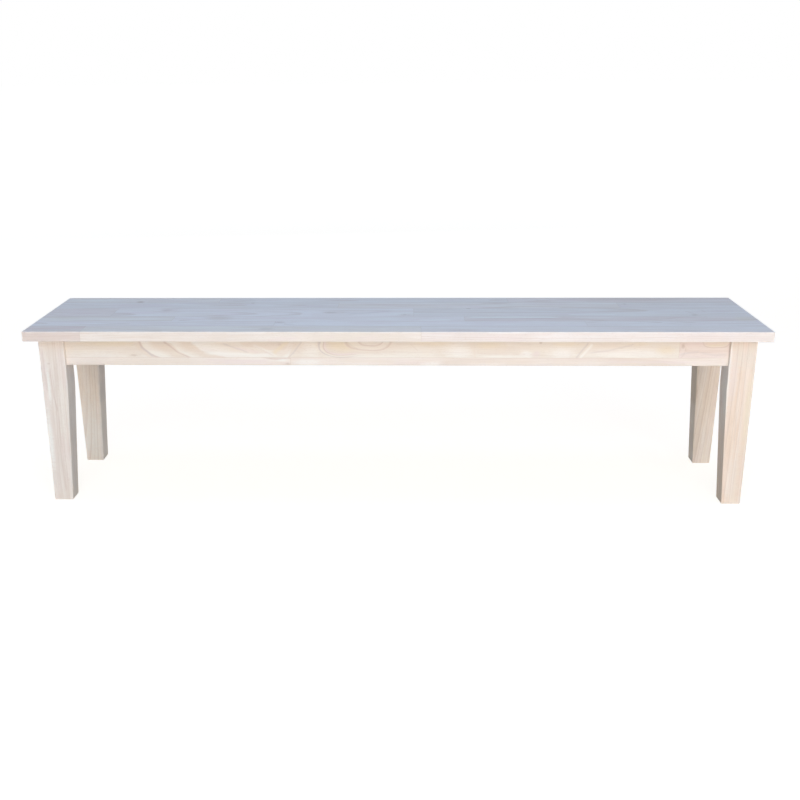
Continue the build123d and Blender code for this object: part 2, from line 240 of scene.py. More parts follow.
def make_log_depth():
    """Distance from the tree's heart, made wavy by slow noise along the grain and finer noise across it."""
    tree, (place, wave, seed), out = effect("log_depth", ["Log Position"], ["Wave", "Seed"], ["Depth"])
    across = calc_vector(tree, "LENGTH", calc_vector(tree, "MULTIPLY", place, (0.0, 1.0, 1.0)))
    slow = calc(tree, "SUBTRACT", speckle(tree, place, SLOW_WAVES, 1.0, 0.4, seed), 0.5)
    fine = calc(tree, "SUBTRACT", speckle(tree, place, FINE_WAVES, 2.0, 0.5, seed), 0.5)
    ripple = times(tree, fine, times(tree, wave, FINE_WAVE_SHARE))
    waves = calc(tree, "ADD", times(tree, slow, wave), ripple)
    feed(tree, out["Depth"], calc(tree, "ADD", across, waves))
    return tree


def make_rings():
    """Growth rings: a thin line at each whole number of the ring coordinate, and soft bands over a few."""
    tree, (depth, width, seed), out = effect(
        "growth_rings", [], ["Depth", "Ring Width", "Seed"], ["Line", "Band"],
    )
    count = calc(tree, "DIVIDE", depth, width)
    slow = calc(tree, "MULTIPLY_ADD", count, RING_DRIFT_PACE, seed)
    drift = noise(tree, "1D", W=slow, Scale=1.0, Detail=1.0)[0]
    warped = calc(tree, "ADD", count, times(tree, drift, RING_DRIFT))
    part = calc(tree, "FRACT", warped)
    rise = soft_step(tree, part, 0.35, DARKEST)
    fall = soft_step(tree, part, DARKEST, 1.0, 1.0, 0.0)
    chosen = add(tree, "ShaderNodeTexWhiteNoise", noise_dimensions="1D")
    feed(tree, chosen.inputs["W"], calc(tree, "ADD", calc(tree, "FLOOR", warped), seed))
    strength = soft_step(tree, chosen.outputs["Value"], 0.0, 1.0, 0.15, 1.0)
    thin = calc(tree, "POWER", times(tree, rise, fall), LINE_THINNESS)
    feed(tree, out["Line"], times(tree, thin, strength))
    band = noise(tree, "1D", W=calc(tree, "MULTIPLY_ADD", warped, BAND_PACE, seed), Scale=1.0, Detail=1.5)[0]
    feed(tree, out["Band"], soft_step(tree, band, 0.3, 0.7))
    return tree


def make_pores():
    """Open pores: long thin cells, dark where the cell's point is near, and fine fibre between them."""
    tree, (place, seed), out = effect("open_pores", ["Log Position"], ["Seed"], ["Pores", "Fibre"])
    cells = add(tree, "ShaderNodeTexVoronoi", voronoi_dimensions="4D")
    feed(tree, cells.inputs["Vector"], calc_vector(tree, "MULTIPLY", place, PORE_CELLS))
    feed(tree, cells.inputs["W"], seed)
    feed(tree, cells.inputs["Scale"], 1.0)
    size = calc(tree, "MULTIPLY_ADD", speckle(tree, place, PORE_CROWDS, 1.0, 0.5, seed), 0.35, 0.12)
    hole = soft_step(tree, cells.outputs["Distance"], times(tree, size, 0.6), size, 1.0, 0.0)
    feed(tree, out["Pores"], hole)
    feed(tree, out["Fibre"], speckle(tree, place, FIBRES, 3.0, 0.6, seed))
    return tree


def make_rubberwood(rings, pores):
    """Rubberwood from a log position and a depth: streaks, rings and pores tint a pale and a warm tone."""
    numbers = ["Depth", "Ring Width", "Line Share", "Band Share", "Streak Share", "Blush Share", "Seed"]
    tree, (place, depth, width, line, band, streak, blush, seed, pale, warm, rosy, dark), out = effect(
        "rubberwood", ["Log Position"], numbers, ["Color", "Roughness", "Height"],
        ["Pale", "Warm", "Blush", "Line"],
    )
    ring = place_effect(tree, rings, Depth=depth, Ring_Width=width, Seed=seed)
    pore = place_effect(tree, pores, Log_Position=place, Seed=seed)
    broad = speckle(tree, place, BROAD_STREAKS, 4.0, 0.55, seed)
    narrow = speckle(tree, place, NARROW_STREAKS, 3.0, 0.6, seed)
    mixed = calc(tree, "MULTIPLY_ADD", broad, BROAD_SHARE, times(tree, narrow, NARROW_SHARE))
    streaked = times(tree, soft_step(tree, mixed, 0.38, 0.62), streak)
    banded = times(tree, ring["Band"], band)
    plain = tint(tree, calc(tree, "ADD", banded, streaked, clamp=True), pale, warm)
    patch = soft_step(tree, speckle(tree, place, BLUSHES, 2.0, 0.5, calc(tree, "ADD", seed, 7.0)), 0.5, 0.72)
    body = tint(tree, times(tree, patch, blush), plain, rosy)
    lined = tint(tree, times(tree, ring["Line"], line), body, dark)
    grained = tint(tree, times(tree, pore["Pores"], PORE_DARKNESS), lined, dark)
    shaded = add(tree, "ShaderNodeVectorMath", operation="SCALE")
    feed(tree, shaded.inputs[0], grained)
    feed(tree, shaded.inputs["Scale"], soft_step(tree, pore["Fibre"], 0.25, 0.75, 0.965, 1.03))
    feed(tree, out["Color"], shaded.outputs[0])
    dull = calc(tree, "MULTIPLY_ADD", pore["Fibre"], 0.12, 0.64)
    feed(tree, out["Roughness"], calc(tree, "MULTIPLY_ADD", pore["Pores"], 0.15, dull))
    dips = times(tree, pore["Pores"], -PORE_DEPTH)
    nap = calc(tree, "MULTIPLY_ADD", pore["Fibre"], FIBRE_HEIGHT, dips)
    feed(tree, out["Height"], calc(tree, "MULTIPLY_ADD", ring["Line"], RING_HEIGHT, nap))
    return tree


def make_board_edges():
    """Mask along a box's edges, from a point's distances to its nearer face of each of the three pairs.

    The second smallest of the three distances is small only along an edge.
    """
    tree, (place, low, high, width), out = effect(
        "board_edges", ["Position", "Low", "High"], ["Width"], ["Edge"],
    )
    from_low = calc_vector(tree, "SUBTRACT", place, low)
    from_high = calc_vector(tree, "SUBTRACT", high, place)
    x, y, z = parts(tree, calc_vector(tree, "MINIMUM", from_low, from_high))
    greater = calc(tree, "MINIMUM", calc(tree, "MAXIMUM", x, y), z)
    second = calc(tree, "MAXIMUM", calc(tree, "MINIMUM", x, y), greater)
    feed(tree, out["Edge"], soft_step(tree, second, 0.0, width, 1.0, 0.0))
    return tree


def make_bowl():
    """Level of nested bowls in the grain: 0 at their centre and 1 at their outermost one.

    Each level has its own reach to the left, to the right and down. The sideways and downward shares of the
    reach are raised to the roundness, added and brought back by its root: 1 gives straight flanks, 2 an oval.
    """
    tree, (place, centre, left, right, drop, roundness), out = effect(
        "grain_bowl", ["Position", "Centre"], ["Left", "Right", "Drop", "Roundness"], ["Level"],
    )
    wander = noise(tree, "3D", Vector=place, Scale=BOWL_WANDER, Detail=2.5)["Color"]
    swing = calc_vector(tree, "MULTIPLY", calc_vector(tree, "SUBTRACT", wander, (0.5, 0.5, 0.5)), BOWL_SWING)
    x, y, z = parts(tree, calc_vector(tree, "ADD", calc_vector(tree, "SUBTRACT", place, centre), swing))
    leftward = calc(tree, "DIVIDE", times(tree, x, -1.0), left)
    along = calc(tree, "POWER", calc(tree, "MAXIMUM", calc(tree, "DIVIDE", x, right), leftward), roundness)
    fall = calc(tree, "POWER", calc(tree, "ABSOLUTE", calc(tree, "DIVIDE", z, drop)), roundness)
    root = calc(tree, "DIVIDE", 1.0, roundness)
    feed(tree, out["Level"], calc(tree, "POWER", calc(tree, "ADD", along, fall), root))
    return tree


def make_drawn_line():
    """One drawn line, of the grain or of painted shade: a mask along a shallow bow from its start, fading out
    at both ends.

    Way is the line's direction over its length, so that its product with the place gives the share gone
    along it. Side is the unit vector across. The bow is four times its height, times the share gone, times
    the share left.
    """
    tree, (place, start, way, side, bow, width), out = effect(
        "drawn_line", ["Position", "Start", "Way", "Side"], ["Bow", "Width"], ["Mask"],
    )
    offset = calc_vector(tree, "SUBTRACT", place, start)
    gone = calc_vector(tree, "DOT_PRODUCT", offset, way)
    across = calc_vector(tree, "DOT_PRODUCT", offset, side)
    left = calc(tree, "SUBTRACT", 1.0, gone)
    arch = times(tree, times(tree, times(tree, gone, left), 4.0), bow)
    shaky = speckle(tree, place, LINE_WAVER, 2.0, 0.5)
    middle = calc(tree, "ADD", arch, calc(tree, "MULTIPLY_ADD", shaky, 2 * LINE_SWING, -LINE_SWING))
    away = calc(tree, "ABSOLUTE", calc(tree, "SUBTRACT", across, middle))
    ends = times(tree, soft_step(tree, gone, 0.0, LINE_FADE), soft_step(tree, left, 0.0, LINE_FADE))
    feed(tree, out["Mask"], times(tree, soft_step(tree, away, 0.0, width, 1.0, 0.0), ends))
    return tree


def make_knot():
    """A knot, a stain or a patch, some patches being painted shade: masks from the distance to its centre
    over its reach on each axis, its rim ragged.
    """
    tree, (place, centre, size), out = effect("knot", ["Position", "Centre", "Reach"], [], ["Core", "Pull"])
    offset = calc_vector(tree, "DIVIDE", calc_vector(tree, "SUBTRACT", place, centre), size)
    ragged = calc(tree, "MULTIPLY_ADD", speckle(tree, place, RAGGED_RIM, 2.0, 0.6), 0.8, -0.4)
    away = calc(tree, "ADD", calc_vector(tree, "LENGTH", offset), ragged)
    feed(tree, out["Core"], soft_step(tree, away, 0.15, 1.0, 1.0, 0.0))
    fading = times(tree, times(tree, away, away), -0.35)
    feed(tree, out["Pull"], calc(tree, "POWER", math.e, fading))
    return tree


LOG_DEPTH = make_log_depth()
RUBBERWOOD = make_rubberwood(make_rings(), make_pores())
BOARD_EDGES = make_board_edges()
BOWL = make_bowl()
DRAWN_LINE = make_drawn_line()
KNOT = make_knot()

# Tones of the boards: pale wood, warm wood and blush. flax and straw, used only on the back legs, are made
# paler to lift the shade under the seat, which is painted light.
TONES = {
    "white": ((0.93, 0.87, 0.83), (0.86, 0.77, 0.71), (0.88, 0.77, 0.74)),
    "cream": ((0.91, 0.84, 0.76), (0.83, 0.73, 0.63), (0.86, 0.74, 0.69)),
    "honey": ((0.90, 0.80, 0.70), (0.84, 0.71, 0.57), (0.87, 0.73, 0.64)),
    "peach": ((0.91, 0.79, 0.68), (0.84, 0.68, 0.54), (0.88, 0.71, 0.61)),
    "sand": ((0.865, 0.80, 0.70), (0.79, 0.70, 0.59), (0.81, 0.70, 0.63)),
    "ivory": ((0.905, 0.845, 0.79), (0.84, 0.745, 0.67), (0.86, 0.75, 0.70)),
    "straw": ((0.94, 0.86, 0.77), (0.88, 0.77, 0.65), (0.91, 0.79, 0.71)),
    "flax": ((0.965, 0.885, 0.79), (0.90, 0.795, 0.67), (0.92, 0.80, 0.72)),
    "salmon": ((0.87, 0.78, 0.72), (0.79, 0.67, 0.58), (0.83, 0.69, 0.63)),
    "rose": ((0.86, 0.76, 0.69), (0.78, 0.65, 0.57), (0.79, 0.63, 0.57)),
    "blush": ((0.90, 0.835, 0.76), (0.79, 0.695, 0.61), (0.81, 0.68, 0.62)),
    "grey": ((0.87, 0.81, 0.75), (0.80, 0.72, 0.65), (0.80, 0.70, 0.67)),
}
RING_LINE = (0.62, 0.48, 0.38)
KNOT_BROWN = (0.42, 0.29, 0.20)
GLUE = (0.62, 0.50, 0.38)
END_GRAIN = (0.66, 0.52, 0.39)
RUBBED = (0.95, 0.89, 0.83)
SEAM_WIDTH = 0.0007
SEAM_DARKNESS = 0.55
RUBBED_WIDTH = 0.005
RUBBED_PATCHES = (35.0, 35.0, 35.0)
END_DARKNESS = 0.38
WOOD_GLOSS = 0.2
SEED_RANGE = 50.0

# Colours of drawn grain and of painted shade: bowls, lines and patches. ash and umber are only painted shade
# on the legs' inner faces, and some tan, yellow and white patches paint shade too.
FIGURE = {
    "white": (0.93, 0.90, 0.83),
    "light": (0.90, 0.855, 0.765),
    "cream": (0.87, 0.80, 0.70),
    "yellow": (0.85, 0.75, 0.58),
    "tan": (0.835, 0.745, 0.635),
    "pink": (0.84, 0.735, 0.685),
    "brown": (0.70, 0.585, 0.50),
    "grey": (0.67, 0.605, 0.56),
    "ash": (0.70, 0.675, 0.64),
    "umber": (0.66, 0.54, 0.41),
}


def softer(tone, share):
    """A tone brought towards the middle one, which keeps a share of its difference."""
    middle = (np.array(TONES["grey"]) + np.array(TONES["white"])) / 2
    return (middle + share * (np.array(TONES[tone]) - middle)).tolist()


def chance(low, high):
    """A random number between two limits."""
    return float(rng.uniform(low, high))


def stripes(tree, level, stops):
    """Colours along a level from 0 to 1, from (level, figure colour) stops."""
    made = add(tree, "ShaderNodeValToRGB")
    feed(tree, made.inputs[0], level)
    held = made.color_ramp.elements
    held.remove(held[1])
    held[0].position = stops[0][0]
    for count, (place, colour) in enumerate(stops):
        (held.new(place) if count else held[0]).color = (*FIGURE[colour], 1.0)
    return made.outputs[0]


def line_mask(tree, spot, start, end, bow, width, facing):
    """The mask of one drawn line, of grain or of painted shade; facing is the way the face looks on which it
    shows.
    """
    whole = end - start
    side = facing.cross(whole).normalized()
    way = whole / whole.length_squared
    return place_effect(
        tree, DRAWN_LINE, Position=spot, Start=start, Way=way, Side=side, Bow=bow, Width=width,
    )["Mask"]


MM = 0.001
ACROSS = Vector((1.0, 0.0, 0.0))
BACKWARDS = Vector((0.0, 1.0, 0.0))
DOWN = Vector((0.0, 0.0, -1.0))
# Turns about Y and Z that lay each grain axis along X
GRAIN_TURN = {"x": (0.0, 0.0), "y": (0.0, -math.pi / 2), "z": (math.pi / 2, 0.0)}


def wood(name, grain, tone, heart, ring_width, line, band, streak, blush=0.5, wave=0.014, tilt=(0.0, 0.0),
         marks=None, origin=None, onward=None, whole=None):
    """One board's wood. heart is the tree's heart from the board's middle in log axes, across the grain.

    marks holds what is drawn on this one board, in millimetres. A place is two distances from the origin,
    along X and along onward.
    patches: colour, place, reach on each axis, share.
    bowls: place, reach to the left, to the right and down, roundness, the two X that they fade out between,
    share, stops.
    knots: place, reach on each axis, pull on the rings, share.
    lines: colour, place of each end, bow, width, share.
    whole is the box whose edges are rubbed.
    """
    marks = marks or {}
    low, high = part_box(name)
    seed = chance(0.0, SEED_RANGE)
    made, tree = fresh_material(f"{name}_rubberwood")
    place = add(tree, "ShaderNodeTexCoord")
    spot = place.outputs["Object"]
    about_y, about_z = GRAIN_TURN[grain]
    turned = Matrix.Rotation(about_z, 3, "Z") @ Matrix.Rotation(about_y + tilt[0], 3, "Y")
    turned = Matrix.Rotation(tilt[1], 3, "Z") @ turned
    shift = -(turned @ ((low + high) / 2))
    mapping = add(tree, "ShaderNodeMapping", vector_type="POINT")
    feed(tree, mapping.inputs["Vector"], spot)
    mapping.inputs["Rotation"].default_value = turned.to_euler("XYZ")
    mapping.inputs["Location"].default_value = (shift.x + seed, shift.y - heart[0], shift.z - heart[1])
    log = mapping.outputs[0]
    depth = place_effect(tree, LOG_DEPTH, Log_Position=log, Wave=wave, Seed=seed)["Depth"]
    pale, warm, rosy = TONES[tone] if isinstance(tone, str) else tone

    def at(x, far):
        return origin + MM * (x * ACROSS + far * onward)

    def mark(x, far, reach):
        return place_effect(tree, KNOT, Position=spot, Centre=at(x, far), Reach=MM * Vector(reach))

    for colour, x, far, *reach, share in marks.get("patches", ()):
        mask = times(tree, mark(x, far, reach)["Core"], share)
        pale = tint(tree, mask, pale, FIGURE[colour])
        warm = tint(tree, mask, warm, FIGURE[colour])
    for x, far, left, right, drop, roundness, last_full, gone, share, stops in marks.get("bowls", ()):
        level = place_effect(
            tree, BOWL, Position=spot, Centre=at(x, far), Left=MM * left, Right=MM * right, Drop=MM * drop,
            Roundness=roundness,
        )["Level"]
        kept = soft_step(tree, parts(tree, spot)["X"], MM * last_full, MM * gone, 1.0, 0.0)
        mask = times(tree, soft_step(tree, level, 0.975, 1.0, share, 0.0), kept)
        striped = stripes(tree, level, stops)
        pale = tint(tree, mask, pale, striped)
        warm = tint(tree, times(tree, mask, 0.85), warm, striped)
    masks = []
    for x, far, *reach, pull, share in marks.get("knots", ()):
        found = mark(x, far, reach)
        depth = calc(tree, "MULTIPLY_ADD", found["Pull"], MM * pull, depth)
        masks.append((times(tree, found["Core"], share), KNOT_BROWN))
    for colour, x, far, end_x, end_far, bow, width, share in marks.get("lines", ()):
        ends = at(x, far), at(end_x, end_far)
        found = line_mask(tree, spot, *ends, MM * bow, MM * width, ACROSS.cross(onward))
        masks.append((times(tree, found, share), FIGURE[colour]))
    look = place_effect(
        tree, RUBBERWOOD, Log_Position=log, Depth=depth, Ring_Width=ring_width, Line_Share=line,
        Band_Share=band, Streak_Share=streak, Blush_Share=blush, Seed=seed, Pale=pale, Warm=warm, Blush=rosy,
        Line=RING_LINE,
    )
    colour = look["Color"]
    for mask, shade in masks:
        colour = tint(tree, mask, colour, shade)
    along = [float(axis == grain) for axis in "xyz"]
    facing = calc(tree, "ABSOLUTE", calc_vector(tree, "DOT_PRODUCT", place.outputs["Normal"], along))
    colour = tint(tree, soft_step(tree, facing, 0.75, 0.97, 0.0, END_DARKNESS), colour, END_GRAIN)
    seam = place_effect(tree, BOARD_EDGES, Position=spot, Low=low, High=high, Width=SEAM_WIDTH)["Edge"]
    colour = tint(tree, times(tree, seam, SEAM_DARKNESS), colour, GLUE)
    if whole is not None:
        rub = place_effect(
            tree, BOARD_EDGES, Position=spot, Low=whole[0], High=whole[1], Width=RUBBED_WIDTH,
        )["Edge"]
        patchy = soft_step(tree, speckle(tree, spot, RUBBED_PATCHES, 3.0, 0.6), 0.3, 0.7, 0.15, 0.6)
        colour = tint(tree, times(tree, rub, patchy), colour, RUBBED)
    show_principled(tree, colour, look, "Specular IOR Level", WOOD_GLOSS)
    return made


def dress(name, material):
    """Puts a material on every slot of a CAD node."""
    for held in nodes[name].material_slots:
        held.material = material


# Seat boards, lane by lane from the front, each from left to right. The front lane's tones show on its edge.
# The lanes' tones are partly the boards' own and partly painted sheen: white lanes at the front and grey ones
# at the back make the top lighter towards the front and darker and greyer towards the back.
SEAT_TONES_AND_PAINTED_SHEEN = (
    ("rose", "cream", "ivory"),
    ("white", "white", "white"),
    ("cream", "white", "rose"),
    ("rose", "white", "grey"),
    ("grey", "cream", "grey"),
    ("cream", "grey", "rose"),
)
TONE_SHARES = (1.0, 0.6, 0.6, 0.6, 0.6, 0.6)
# Marks on the seat's top, from its middle to the right and to the back
SEAT_MARKS = {
    (1, 1): {"patches": [("brown", -850, -200, 150, 24, 60, 0.3)]},
    (1, 2): {
        "knots": [(-313, -169, 28, 13, 10, 6, 0.22)],
        "patches": [
            ("white", -420, -165, 200, 16, 30, 0.3), ("pink", -60, -150, 90, 10, 30, 0.4),
            ("tan", -100, -200, 260, 18, 60, 0.8),
        ],
    },
    (1, 3): {
        "patches": [("pink", 760, -200, 180, 18, 60, 0.45)],
        "lines": [("pink", 110, -148, 330, -150, 0, 6, 0.5)],
    },
    (2, 1): {"lines": [("pink", -720, -104, -560, -100, 0, 6, 0.6)]},
    (2, 2): {
        "knots": [(-289, -97, 20, 11, 10, 8, 0.35)],
        "patches": [("pink", -385, -112, 50, 14, 30, 0.4)],
        "lines": [("grey", -350, -108, -240, -124, 2, 4, 0.3), ("pink", 60, -122, 190, -126, 0, 5, 0.6)],
    },
    (2, 3): {
        "lines": [("white", 270, -92, 425, -90, 0, 6, 0.9), ("grey", 335, -104, 430, -105, 0, 4, 0.4)],
    },
    (3, 1): {"patches": [("tan", -840, -56, 70, 24, 30, 0.5)]},
    (3, 2): {
        "patches": [("brown", -452, -50, 52, 30, 30, 0.55), ("white", -20, -58, 80, 22, 30, 0.4)],
        "lines": [("white", 60, -72, 150, -70, 0, 7, 0.8)],
    },
    (3, 3): {
        "patches": [("brown", 516, -78, 34, 9, 30, 0.5), ("tan", 884, -58, 40, 34, 30, 0.9)],
        "lines": [
            ("white", 170, -41, 435, -41, 0, 11, 1), ("grey", 190, -55, 425, -57, 0, 6, 0.25),
            ("white", 455, -46, 560, -48, 0, 5, 0.5),
        ],
    },
    (4, 1): {"patches": [("pink", -830, 20, 90, 50, 30, 0.5)]},
    (4, 2): {
        "knots": [
            (-605, 42, 20, 24, 10, 4, 0.14), (-164, 13, 28, 9, 10, 9, 0.4), (27, -12, 9, 7, 10, 4, 0.35),
        ],
        "patches": [
            ("pink", -600, 44, 40, 36, 30, 0.6), ("white", 20, 10, 60, 50, 40, 0.4),
            ("light", -560, -14, 160, 14, 30, 0.4), ("brown", -460, -24, 40, 18, 30, 0.35),
        ],
        "lines": [("grey", -128, -4, -2, 34, -4, 6, 0.5), ("grey", -140, 10, -60, 8, 2, 5, 0.3)],
    },
    (4, 3): {
        "knots": [(195, 60, 10, 8, 10, 4, 0.3), (768, -16, 12, 12, 10, 10, 0.3)],
        "patches": [("light", 250, -4, 60, 14, 30, 0.3)],
        "lines": [
            ("white", 440, -12, 580, -14, 0, 7, 0.9), ("light", 570, -14, 740, -15, 0, 6, 0.6),
            ("grey", 355, 26, 520, 30, 0, 6, 0.25), ("brown", 752, 34, 780, -30, 4, 6, 0.3),
            ("brown", 799, 46, 806, 14, 0, 5, 0.3),
        ],
    },
    (5, 1): {
        "knots": [(-387, 134, 8, 14, 10, 3, 0.3)],
        "patches": [("pink", -720, 100, 80, 34, 30, 0.6), ("brown", -440, 136, 80, 16, 30, 0.7)],
    },
    (5, 2): {"patches": [("brown", 274, 130, 62, 16, 30, 0.7)]},
    (5, 3): {"knots": [(616, 116, 6, 6, 10, 2, 0.35)]},
    (6, 1): {
        "knots": [(-701, 144, 15, 12, 10, 10, 0.55)],
        "patches": [("white", -830, 165, 110, 20, 30, 0.5)],
    },
    (6, 3): {"patches": [("brown", 660, 178, 240, 30, 30, 0.55)]},
}
seat_corners = np.array([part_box(name) for name in nodes if name.startswith("seat_board")])
seat_box = Vector(seat_corners[:, 0].min(0)), Vector(seat_corners[:, 1].max(0))
SEAT_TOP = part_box("seat_board_1_1")[1].z
seat_middle = Vector((0.0, 0.0, SEAT_TOP))
for lane, (tones, share) in enumerate(zip(SEAT_TONES_AND_PAINTED_SHEEN, TONE_SHARES), 1):
    for count, tone in enumerate(tones, 1):
        name = f"seat_board_{lane}_{count}"
        side = rng.choice((-1.0, 1.0))
        heart = (chance(-0.03, 0.03), side * chance(0.035, 0.08))
        dress(name, wood(
            name, "x", softer(tone, share) if share < 1 else tone, heart, ring_width=chance(0.004, 0.007),
            line=0.35, band=0.25, streak=0.7, blush=0.55, wave=0.03,
            tilt=(chance(-0.03, 0.03), chance(-0.03, 0.03)), marks=SEAT_MARKS.get((lane, count)),
            origin=seat_middle, onward=BACKWARDS, whole=seat_box,
        ))

# Long aprons. The front one's upper board has bowls of nested bands that hang from its top edge.
BIG_BOWL = (
    (0.14, "tan"), (0.285, "tan"), (0.305, "cream"), (0.42, "cream"), (0.48, "light"), (0.575, "white"),
    (0.60, "tan"), (0.655, "tan"), (0.735, "light"), (0.753, "tan"), (0.762, "brown"), (0.775, "tan"),
    (0.83, "tan"), (0.89, "light"), (0.93, "light"), (0.945, "brown"), (0.958, "tan"), (0.975, "tan"),
)
OUTER_BOWL = (
    (0.0, "yellow"), (0.50, "yellow"), (0.74, "tan"), (0.83, "pink"), (0.86, "brown"), (0.885, "cream"),
    (0.925, "cream"), (0.955, "grey"), (0.985, "cream"),
)
INNER_BOWL = (
    (0.0, "cream"), (0.50, "cream"), (0.60, "brown"), (0.65, "cream"), (0.84, "cream"), (0.93, "brown"),
    (0.975, "tan"),
)
END_BOWL = ((0.0, "yellow"), (0.60, "yellow"), (0.84, "tan"), (0.93, "brown"), (0.98, "cream"))
# Marks on the front apron, from the bench's middle to the right and from the apron's top down
FRONT_MARKS = {
    "front_apron_upper_left": {
        "bowls": [
            (-275, 0, 386, 46, 108.7, 2, -270, -246, 1, BIG_BOWL),
            (-118, 0, 76, 140, 49, 2.8, -115, -70, 0.85, OUTER_BOWL),
            (-53, 0, 74, 52, 34, 2.8, 100, 200, 0.75, INNER_BOWL),
        ],
        "knots": [
            (-281, 17, 9, 20, 6, 0, 0.2), (-650, 44, 13, 20, 3.5, 0, 0.3), (362, 12, 5, 20, 4, 0, 0.3),
        ],
        "patches": [
            # The yellow and tan patches 13 to 19 mm below the top are partly wood tone and partly painted
            # warm shade under the seat's overhang.
            ("yellow", -710, 14, 120, 30, 12, 0.7), ("light", -740, 52, 140, 30, 22, 0.9),
            ("white", -600, 46, 44, 30, 12, 0.6), ("tan", -252, 14, 26, 30, 22, 0.9),
            ("light", -205, 30, 34, 30, 40, 0.8), ("light", -40, 48, 200, 30, 12, 0.8),
            ("light", 50, 34, 100, 30, 18, 0.5), ("yellow", 96, 13, 70, 30, 12, 0.6),
            ("white", 160, 36, 50, 30, 32, 0.7), ("white", 265, 50, 90, 30, 14, 0.6),
            ("yellow", 236, 17, 56, 30, 14, 0.6), ("tan", 260, 30, 40, 30, 16, 0.4),
            ("white", 328, 42, 24, 30, 16, 0.8), ("pink", 352, 40, 14, 30, 14, 0.6),
            ("white", 415, 40, 48, 30, 28, 0.7), ("yellow", 425, 15, 55, 30, 10, 0.5),
            ("tan", 530, 19, 70, 30, 12, 0.7), ("white", 575, 40, 150, 30, 22, 0.65),
            ("yellow", 668, 30, 36, 30, 16, 0.7), ("yellow", 600, 15, 40, 30, 8, 0.5),
        ],
        "lines": [
            ("grey", -634, 20, -598, 49, 0, 5, 0.6), ("white", -480, 38, -290, 45, 0, 8, 0.8),
            ("grey", -224, 4, -264, 54, -2, 3.5, 0.5), ("pink", -400, 25, -330, 36, 0, 6, 0.5),
            ("brown", -346, 18, -296, 46, 2, 3, 0.3), ("yellow", -302, 42, -258, 4, 0, 9, 0.75),
            ("grey", -428, 13, -358, 38, 0, 4, 0.45), ("white", -352, 16, -286, 48, 0, 6, 0.4),
            ("grey", -112, 11, -86, 27, 2, 2, 0.3), ("brown", 40, 12, 62, 34, 0, 3, 0.2),
            ("tan", 184, 8, 204, 56, -3, 5, 0.5), ("grey", 480, 8, 447, 56, 0, 4, 0.5),
            ("white", 490, 12, 457, 56, 0, 6, 0.7), ("grey", 476, 36, 600, 10, 6, 3.5, 0.35),
        ],
    },
    "front_apron_upper_right": {
        "bowls": [(786, 6, 34, 36, 22, 2.2, 900, 1000, 0.9, END_BOWL)],
        "knots": [(709, 20, 6, 30, 9, 8, 0.35)],
        "lines": [
            ("brown", 716, 24, 703, 50, -4, 3, 0.3), ("grey", 700, 43, 752, 35, -3, 5, 0.4),
            ("grey", 746, 36, 822, 40, 3, 5, 0.35),
        ],
    },
    "front_apron_lower_left": {
        "knots": [(-263, 67, 10, 20, 6, 4, 0.25)],
        "patches": [
            ("tan", -600, 62, 220, 30, 20, 0.6), ("white", -278, 56, 20, 30, 7, 0.7),
            ("pink", -390, 62, 130, 30, 10, 0.6),
        ],
        "lines": [("pink", -480, 56, -300, 58, 0, 4, 0.6)],
    },
    "front_apron_lower_right": {
        "patches": [("white", -215, 61, 50, 30, 14, 0.7), ("white", 95, 66, 40, 30, 8, 0.6)],
        "lines": [
            ("tan", -150, 59, 10, 58, 0, 7, 0.6), ("tan", 110, 61, 330, 59, 0, 7, 0.5),
            ("pink", 500, 60, 760, 61, 0, 5, 0.5),
        ],
    },
}
APRON_TONES = {
    "front_apron": ("sand", "salmon", "cream", "cream"),
    "back_apron": ("cream", "honey", "white", "cream"),
}
APRON_BOARDS = ("upper_left", "upper_right", "lower_left", "lower_right")
APRON_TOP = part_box("front_apron_upper_left")[1].z
APRON_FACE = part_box("front_apron_upper_left")[0].y
apron_middle = Vector((0.0, APRON_FACE, APRON_TOP))
for apron, tones in APRON_TONES.items():
    for board, tone in zip(APRON_BOARDS, tones):
        name = f"{apron}_{board}"
        heart = (chance(0.04, 0.07), chance(-0.02, 0.02))
        drawn = name == "front_apron_upper_left"
        line, band, streak, blush = (0.12, 0.25, 0.35, 0.2) if drawn else (0.45, 0.5, 0.5, 0.5)
        dress(name, wood(
            name, "x", tone, heart, 0.007, line, band, streak, blush,
            tilt=(chance(-0.01, 0.01), chance(-0.01, 0.01)), marks=FRONT_MARKS.get(name),
            origin=apron_middle, onward=DOWN,
        ))
END_TONES = {
    "left_end_apron_upper": "cream",
    "left_end_apron_lower": "rose",
    "right_end_apron_upper": "honey",
    "right_end_apron_lower": "cream",
}
for name, tone in END_TONES.items():
    heart = (chance(0.04, 0.07), chance(-0.02, 0.02))
    dress(name, wood(name, "y", tone, heart, ring_width=0.007, line=0.6, band=0.5, streak=0.5))
for name in ("cross_rail_left", "cross_rail_right"):
    dress(name, wood(name, "y", "honey", (0.03, 0.05), ring_width=0.006, line=0.6, band=0.5, streak=0.5))

# Legs, with their grain upright. The back legs' flax and straw tones are partly their own wood and partly
# painted light that lifts the shade they stand in under the seat.
LEG_TONES_AND_PAINTED_LIGHT = {
    "leg_front_left": "blush",
    "leg_front_right": "peach",
    "leg_back_left": "flax",
    "leg_back_right": "straw",
}
